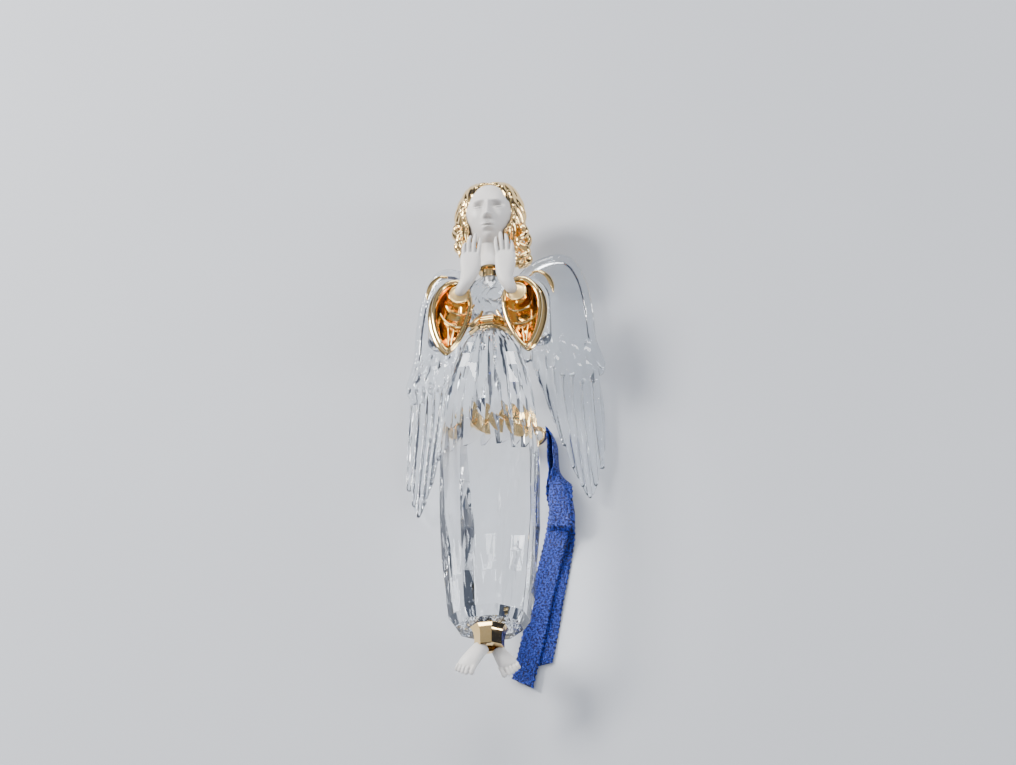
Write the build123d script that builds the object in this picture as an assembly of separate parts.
from build123d import *
import math
import os

# A hanging angel ornament of cut crystal and gilt metal, lying on its back on its wings.
# Millimetres. +X is the viewer's right when looking at its front, +Y runs from feet to head,
# +Z is up, out of its front. The origin is under the middle of the piece, on the rest surface.

# ---- driving dimensions ----
TOE_Y = -46.6            # lowest point of the toes
CROWN_Y = 46.6           # top of the hair
AXIS_Z = 11.0            # height of the body's long axis over the rest surface
UPPER_TURN = 8.0         # degrees: head and arms face a little to the viewer's right
GLUE = 0.02              # radial room between a pin and its bore

HEM_Y = -37.9            # lower end of the gown
WAIST_Y = 15.4           # upper end of the gown, under the belt
GOWN_R = 8.5             # widest corner radius of the gown
BELT_H = 2.8
BELT_R = 3.75
BODICE_TOP_Y = 26.4
COLLAR_H = 2.2
COLLAR_R = 2.1
PIN_R = 0.8
PIN_GRIP = 1.4           # how far a pin reaches into the crystal

FERRULE_H = 3.4
FERRULE_TOP_R = 3.1
FERRULE_END_R = 2.45
FERRULE_GRIP = 1.6       # how far the pin reaches into the ferrule

HAIR_R = 6.3
HEAD_R = 4.75
JAW_Y = 32.0

SLEEVE_X = 6.1           # middle of a sleeve
SLEEVE_Y = 17.0
SLEEVE_W = 6.8
SLEEVE_L = 14.2
SLEEVE_WALL = 0.6
SLEEVE_BACK_Z = 1.9      # closed back of a sleeve, over the body axis
SLEEVE_MOUTH_Z = 5.2     # open front of a sleeve, over the body axis
CUFF_R = 2.15
CUFF_H = 2.2
ARM_R = 1.85

WING_ROOT_X = 3.0
WING_DROP = 6.3          # the wing's outer edge lies this much lower than its root
WING_CHORD = 15.9        # from the root to the covert point, along the wing
WING_T = 1.5
MOUNT_Y = 23.9           # middle of the plate that carries both wings

EYE_Y = 0.2              # hanger, near the middle of the figure's length
EYE_Z = 2.0
EYE_R = 1.05             # centreline radius of the eye
FLANGE_R = 2.9
FLANGE_T = 0.5
STUD_R = 0.7
STUD_LEN = 4.0
RING_R = 1.5             # centreline radius of the jump ring's two round ends
RING_LEN = 7.2           # centreline length of the jump ring
WIRE_R = 0.4

RIBBON_W = 4.0
RIBBON_T = 0.5
KNOT_Y = -8.6            # upper end of the knot
KNOT_LEN = 9.2
KNOT_X = 9.9

nodes = {}
BODY = Pos(0, 0, AXIS_Z)                       # figure frame: the long axis is its Y axis
UPPER = Pos(0, 0, AXIS_Z) * Rot(0, UPPER_TURN, 0)
SIDES = {"left": -1, "right": 1}


# ---- helpers ----
def lathe(points, spline=True):
    """A turned solid about the figure's Y axis, from (radius, y) points whose ends are closed to the axis."""
    outline = [Vector(r, y, 0) for r, y in points]
    curve = Spline(outline) if spline else Polyline(outline)
    first, last = outline[0], outline[-1]
    edges = [curve]
    corner = [last]
    if last.X > 1e-6:
        corner.append(Vector(0, last.Y, 0))
    corner.append(Vector(0, first.Y, 0))
    if first.X > 1e-6:
        corner.append(first)
    edges.append(Polyline(corner) if len(corner) > 2 else Line(corner[0], corner[1]))
    return revolve(make_face(Curve(edges)), Axis.Y)


def facets(rings):
    """A closed solid with flat facets through rings of (x, y, z) corners, each ring with the same count."""
    faces = []
    count = len(rings[0])
    for low, high in zip(rings, rings[1:]):
        for i in range(count):
            j = (i + 1) % count
            if i % 2:
                triangles = ((low[i], low[j], high[j]), (low[i], high[j], high[i]))
            else:
                triangles = ((low[i], low[j], high[i]), (low[j], high[j], high[i]))
            faces += [Face(Wire.make_polygon(t, close=True)) for t in triangles]
    faces.append(Face(Wire.make_polygon(rings[0], close=True)))
    faces.append(Face(Wire.make_polygon(rings[-1], close=True)))
    return Solid(Shell(faces))


def ring(y, radius, valley, count, depth=1.0, turn=0.5):
    """Corners of one ring about the Y axis; every other corner lies at radius * valley."""
    corners = []
    for i in range(count):
        angle = 2 * math.pi * (i + turn) / count
        r = radius * (valley if i % 2 else 1.0)
        corners.append(Vector(r * math.cos(angle), y, r * math.sin(angle) * depth))
    return corners


def rod(start, end, radius):
    """A straight round bar between two points."""
    start, end = Vector(start), Vector(end)
    along = end - start
    return Plane(origin=start, z_dir=along.normalized()) * Cylinder(
        radius, along.length, align=(Align.CENTER, Align.CENTER, Align.MIN)
    )


def limb(stations):
    """A smooth solid through (centre, width radius, depth radius) stations, cut square to its run."""
    sections = []
    for i, (centre, wide, deep) in enumerate(stations):
        before = Vector(stations[max(i - 1, 0)][0])
        after = Vector(stations[min(i + 1, len(stations) - 1)][0])
        along = (after - before).normalized()
        across = Vector(1, 0, 0) - along * along.X
        plane = Plane(origin=Vector(centre), x_dir=across.normalized(), z_dir=along)
        sections.append(plane * Ellipse(wide, deep))
    return loft(sections)


def strip(points, z, upright=False):
    """A ribbon's plain solid along a flat route; prints the length and the bend radii."""
    corners = [Vector(x, y, z) for x, y in points]
    radii = []
    for a, b, c in zip(corners, corners[1:], corners[2:]):
        turn = math.radians((b - a).get_angle(c - b))
        run = min((b - a).length, (c - b).length)
        radii.append(0.45 * run / math.tan(turn / 2))
    path = FilletPolyline(*corners, radius=radii)
    print("ribbon run %.1f mm, radii %s" % (path.length, [round(r, 1) for r in radii]))
    heading = (corners[1] - corners[0]).normalized()
    across = heading.cross(Vector(0, 0, 1))
    start = Plane(origin=corners[0], x_dir=across, z_dir=heading)
    size = (RIBBON_T, RIBBON_W) if upright else (RIBBON_W, RIBBON_T)
    return sweep(start * Rectangle(*size), path=path)


# ---- crystal gown, cut with pleats that run out into eight long facets ----
OCT = math.cos(math.pi / 8)
gown_cut = (
    # y, corner radius as a share of GOWN_R, valley depth
    (HEM_Y, 0.62, OCT),
    (-36.1, 0.70, OCT),
    (-33.5, 0.75, OCT),
    (-26.5, 0.86, OCT),
    (-19.3, 0.95, OCT),
    (-12.0, 1.00, OCT),
    (-4.6, 0.98, 0.985),
    (3.1, 0.90, 0.94),
    (6.8, 0.815, 0.91),
    (10.8, 0.68, 0.88),
    (13.4, 0.55, 0.90),
    (WAIST_Y, 0.40, OCT),
)
gown = facets([ring(y, GOWN_R * share, valley, 16, turn=1.0) for y, share, valley in gown_cut])

# ---- pins, belt, bodice, collar ----
belt_top = WAIST_Y + BELT_H
waist_pin = rod((0, WAIST_Y - PIN_GRIP, 0), (0, belt_top + PIN_GRIP, 0), PIN_R)
neck_pin = rod((0, BODICE_TOP_Y - PIN_GRIP, 0), (0, BODICE_TOP_Y + COLLAR_H + PIN_GRIP, 0), PIN_R)
hem_pin = rod((0, HEM_Y - FERRULE_GRIP, 0), (0, HEM_Y + PIN_GRIP, 0), PIN_R)


def bore(pin_start, pin_end):
    return rod(pin_start, pin_end, PIN_R + GLUE)


belt = facets(
    [
        ring(WAIST_Y + BELT_H * share, BELT_R * swell, OCT, 16, turn=1.0)
        for share, swell in ((0, 0.90), (0.2, 1.0), (0.45, 0.97), (0.55, 0.97), (0.8, 1.0), (1, 0.90))
    ]
) - bore((0, WAIST_Y - 1, 0), (0, belt_top + 1, 0))

bodice = facets(
    [
        ring(belt_top, 3.4, OCT, 16, depth=0.86, turn=1.0),
        ring(21.0, 3.9, 0.95, 16, depth=0.84, turn=1.0),
        ring(24.0, 4.4, OCT, 16, depth=0.76, turn=1.0),
        ring(25.6, 3.9, OCT, 16, depth=0.76, turn=1.0),
        ring(BODICE_TOP_Y, 2.6, OCT, 16, depth=0.9, turn=1.0),
    ]
)
bodice -= bore((0, belt_top - 1, 0), (0, belt_top + PIN_GRIP, 0))
bodice -= bore((0, BODICE_TOP_Y - PIN_GRIP, 0), (0, BODICE_TOP_Y + 1, 0))

collar = lathe(
    [
        (COLLAR_R * 0.86, BODICE_TOP_Y),
        (COLLAR_R * 0.86, BODICE_TOP_Y + 0.3),
        (COLLAR_R * 0.8, BODICE_TOP_Y + 0.4),
        (COLLAR_R * 0.8, BODICE_TOP_Y + COLLAR_H - 0.5),
        (COLLAR_R, BODICE_TOP_Y + COLLAR_H - 0.4),
        (COLLAR_R, BODICE_TOP_Y + COLLAR_H),
    ],
    spline=False,
) - bore((0, BODICE_TOP_Y - 1, 0), (0, BODICE_TOP_Y + COLLAR_H + 1, 0))

# ---- frosted head with its neck, and the gilt hair that caps it ----
NECK_Y = BODICE_TOP_Y + COLLAR_H


def head_form(room=0.0):
    points = [
        (2.3 + room, NECK_Y),
        (1.9 + room, NECK_Y + 1.8),
        (2.5 + room, JAW_Y + 0.2),
        (4.2 + room, JAW_Y + 3.0),
        (HEAD_R + room, JAW_Y + 6.6),
        (4.1 + room, JAW_Y + 11.0),
        (0, CROWN_Y - 1.0 + room),
    ]
    return lathe(points)


head = head_form() - bore((0, NECK_Y - 1, 0), (0, NECK_Y + PIN_GRIP, 0))
hair = lathe(
    [
        (4.6, JAW_Y - 0.2),
        (5.9, JAW_Y + 3.5),
        (HAIR_R, JAW_Y + 7.4),
        (5.2, JAW_Y + 12.0),
        (0, CROWN_Y),
    ]
)
face_opening = Pos(0, JAW_Y + 5.0, 1.2) * extrude(Ellipse(4.55, 7.0), 8)
hair = hair - face_opening - head_form(GLUE)
neck_room = Pos(0, JAW_Y + 1.0, 4.0) * Box(14, 4, 8)
hair -= neck_room

# ---- crystal arms, gilt sleeves with their cuffs, frosted hands ----


def sleeve_outline(side, grow, share, z):
    """A sleeve's teardrop section, round at the wrist and narrow at the hanging point, at a share of its full size."""
    points = []
    for i in range(16):
        t = 2 * math.pi * (i + 0.5) / 16
        across = (SLEEVE_W / 2 + grow) / 0.77 * math.sin(t) * abs(math.sin(t / 2)) * share
        along = (SLEEVE_L / 2 + grow) * math.cos(t) * share
        points.append(Vector(side * (SLEEVE_X + 0.5 * math.cos(t)) + across, SLEEVE_Y - along, z))
    return make_face(Spline(points, periodic=True))


def sleeve_form(side, grow, back, mouth, narrow):
    """A bowl between its smaller back and its open mouth."""
    return loft([sleeve_outline(side, grow, narrow, back), sleeve_outline(side, grow, 1.0, mouth)], ruled=True)


for name, side in SIDES.items():
    full = sleeve_form(side, 0.0, SLEEVE_BACK_Z, SLEEVE_MOUTH_Z, 0.62)
    hollow = sleeve_form(side, -SLEEVE_WALL, SLEEVE_BACK_Z + SLEEVE_WALL, SLEEVE_MOUTH_Z + 0.01, 0.60)
    wrist = Vector(side * 5.3, 20.7, 5.5)
    cup_way = Vector(-side * 0.16, 0.45, 0.88).normalized()
    cuff_foot = wrist - cup_way * CUFF_H
    cup = rod(cuff_foot, wrist, CUFF_R)
    cup_bore = rod(cuff_foot + cup_way * 0.8, wrist + cup_way, CUFF_R - 0.5)
    sleeve = full - hollow
    cuff = cup - cup_bore - sleeve
    cuff = max(cuff.solids(), key=lambda s: s.volume)
    hand = limb(
        [
            (cuff_foot + cup_way * 0.85, 1.45, 1.4),
            (wrist + Vector(-side * 0.5, 1.1, 0.9), 1.35, 1.15),
            (Vector(side * 3.4, 25.2, 7.3), 1.6, 0.9),
            (Vector(side * 2.8, 28.4, 7.5), 1.5, 0.7),
            (Vector(side * 2.5, 31.8, 7.2), 0.9, 0.4),
        ]
    )
    path = FilletPolyline(
        (side * 2.6, 25.0, 0.1), (side * 8.4, 25.2, 0.0), (side * 8.7, 14.6, 0.9), radius=3.4
    )
    arm = sweep(Plane(origin=path @ 0, z_dir=path % 0) * Circle(ARM_R), path=path)
    arm = arm + Pos(*(path @ 1)) * Sphere(ARM_R)
    nodes["arm_" + name] = (UPPER * arm) - (BODY * bodice) - (UPPER * full)
    nodes["sleeve_" + name] = UPPER * sleeve
    nodes["cuff_" + name] = UPPER * cuff
    nodes["hand_" + name] = UPPER * (hand - sleeve - cuff)

# ---- gilt ferrule at the hem, with the frosted feet set in it ----
ferrule = facets(
    [
        ring(HEM_Y - FERRULE_H, FERRULE_END_R, OCT, 16, turn=1.0),
        ring(HEM_Y - 0.8, FERRULE_END_R * 1.04, OCT, 16, turn=1.0),
        ring(HEM_Y, FERRULE_TOP_R, OCT, 16, turn=1.0),
    ]
) - bore((0, HEM_Y - FERRULE_GRIP, 0), (0, HEM_Y + 1, 0))
ankle_y = HEM_Y - FERRULE_H
feet = {
    # side: where the ankle leaves the ferrule, ball and toes
    "left": ((-0.95, ankle_y, 0.9), (-2.3, -43.7, 1.6), (-3.9, TOE_Y, 1.9)),
    "right": ((1.05, ankle_y, -0.8), (2.0, -43.0, -1.0), (3.5, -45.4, -1.1)),
}
for name, (ankle, instep, toes) in feet.items():
    foot = limb([(ankle, 0.95, 0.95), (instep, 1.35, 1.0), (toes, 1.6, 0.5)])
    keep = Pos(0, (ankle_y + TOE_Y) / 2, 0) * Box(20, ankle_y - TOE_Y, 20)
    nodes["foot_" + name] = BODY * (foot & keep)

# ---- wings on their mount behind the bodice ----
wing_tilt = math.degrees(math.asin(WING_DROP / WING_CHORD))
wing_outline = (
    # share of the chord, y: shoulder, arch, covert point, then the long feathers and back
    (0, 28.5),
    (0.2, 32.0),
    (0.37, 33.9),
    (0.5, 34.6),
    (0.62, 34.1),
    (0.72, 32.2),
    (0.815, 28.4),
    (0.87, 23.0),
    (0.895, 18.2),
    (0.95, 15.3),
    (1, 13.0),
    (1, 11.6),
    (0.955, 10.3),
    (0.985, 6.2),
    (1, 1.9),
    (1, -2.0),
    (0.98, -5.6),
    (0.935, -7.9),
    (0.915, -9.8),
    (0.86, -12.2),
    (0.8, -13.0),
    (0.735, -12.4),
    (0.68, -10.4),
    (0.59, -7.4),
    (0.53, -3.6),
    (0.46, -0.4),
    (0.405, 2.6),
    (0.33, 6.2),
    (0.275, 9.4),
    (0.19, 14.2),
    (0, 17.0),
)
mount_plate = Pos(0, MOUNT_Y, -4.3) * extrude(RectangleRounded(2 * WING_ROOT_X, 10.4, 1.4), 1.0)
mount_peg = rod((0, MOUNT_Y, -3.4), (0, MOUNT_Y, -1.4), 1.1)
bodice -= rod((0, MOUNT_Y, -6), (0, MOUNT_Y, -1.4 + GLUE), 1.1 + GLUE)
wing_mount = (mount_plate + mount_peg) - bodice
nodes["wing_mount"] = BODY * wing_mount

for name, side in SIDES.items():
    flat = [Vector(side * WING_CHORD * share, y, 0) for share, y in wing_outline]
    plate = extrude(make_face(Polyline(flat, close=True)), WING_T)
    upper = [p for p in flat if p.Y > 10.5]
    coverts = extrude(make_face(Polyline(upper, close=True)), WING_T + 0.6)
    wing = plate + coverts
    wing = Pos(side * WING_ROOT_X, 0, WING_DROP) * Rot(0, side * wing_tilt, 0) * wing
    beside_mount = BODY * (Pos(0, MOUNT_Y, 0) * Box(2 * WING_ROOT_X, 30, 20))
    nodes["wing_" + name] = wing - beside_mount

# ---- hanger: eyelet in the gown's back, jump ring, knotted ribbon ----
flange_z = EYE_Z + EYE_R + 0.15 - AXIS_Z
eye = Pos(0, EYE_Y, EYE_Z - AXIS_Z) * Rot(90, 0, 0) * Torus(EYE_R, WIRE_R)
eyelet = eye + rod((0, EYE_Y, flange_z), (0, EYE_Y, flange_z + FLANGE_T), FLANGE_R)
eyelet += rod((0, EYE_Y, flange_z), (0, EYE_Y, flange_z + STUD_LEN), STUD_R)
flange_seat = rod((0, EYE_Y, flange_z - 2), (0, EYE_Y, flange_z + FLANGE_T + GLUE), FLANGE_R + GLUE)
stud_bore = rod((0, EYE_Y, flange_z), (0, EYE_Y, flange_z + STUD_LEN + GLUE), STUD_R + GLUE)
gown -= bore((0, WAIST_Y - PIN_GRIP, 0), (0, WAIST_Y + 1, 0))
gown -= bore((0, HEM_Y - 1, 0), (0, HEM_Y + PIN_GRIP, 0))
gown = gown - flange_seat - stud_bore

ring_line = offset(Line((RING_R, 0), (RING_LEN - RING_R, 0)), RING_R, side=Side.BOTH)
ring_wire = sweep(Plane(origin=ring_line @ 0, z_dir=ring_line % 0) * Circle(WIRE_R), path=ring_line)
jump_ring = Pos(0, EYE_Y, EYE_Z) * ring_wire

knot_end = KNOT_Y - KNOT_LEN
loop_start = RING_LEN + WIRE_R + RIBBON_T / 2
ribbon_loop = strip(
    [(loop_start, EYE_Y + 0.6), (loop_start + 1.2, -0.6), (KNOT_X - 0.9, -4.6), (KNOT_X - 0.2, KNOT_Y)],
    RIBBON_W / 2,
    upright=True,
)
knot = Pos(KNOT_X, KNOT_Y - KNOT_LEN / 2, RIBBON_W / 2) * Box(4.4, KNOT_LEN, 3.6)
knot = fillet(knot.edges(), 1.2)
tail_front = strip(
    [(KNOT_X - 1.0, knot_end), (KNOT_X - 2.2, -22.6), (5.9, -30.0), (4.4, -37.2), (2.8, -43.6)],
    0.85,
)
tail_rear = strip(
    [(KNOT_X, knot_end), (KNOT_X - 0.9, -23.0), (7.6, -30.0), (6.6, -36.0), (5.6, -40.6)],
    0.3,
)

nodes["gown"] = BODY * gown
nodes["belt"] = BODY * belt
nodes["bodice"] = BODY * bodice
nodes["collar"] = BODY * collar
nodes["waist_pin"] = BODY * waist_pin
nodes["neck_pin"] = BODY * neck_pin
nodes["hem_pin"] = BODY * hem_pin
nodes["head"] = UPPER * head
nodes["hair"] = UPPER * hair
nodes["hem_ferrule"] = BODY * ferrule
nodes["eyelet"] = BODY * eyelet
nodes["jump_ring"] = jump_ring
nodes["ribbon_loop"] = ribbon_loop
nodes["ribbon_knot"] = knot
nodes["ribbon_tail_front"] = tail_front
nodes["ribbon_tail_rear"] = tail_rear

os.makedirs("parts", exist_ok=True)
for name, shape in nodes.items():
    export_step(shape, "parts/%s.step" % name)
    box = shape.bounding_box()
    low, high = box.min, box.max
    print(
        "%-18s solids %d vol %8.2f  x %6.2f..%6.2f  y %6.2f..%6.2f  z %6.2f..%6.2f"
        % (name, len(shape.solids()), shape.volume, low.X, high.X, low.Y, high.Y, low.Z, high.Z)
    )
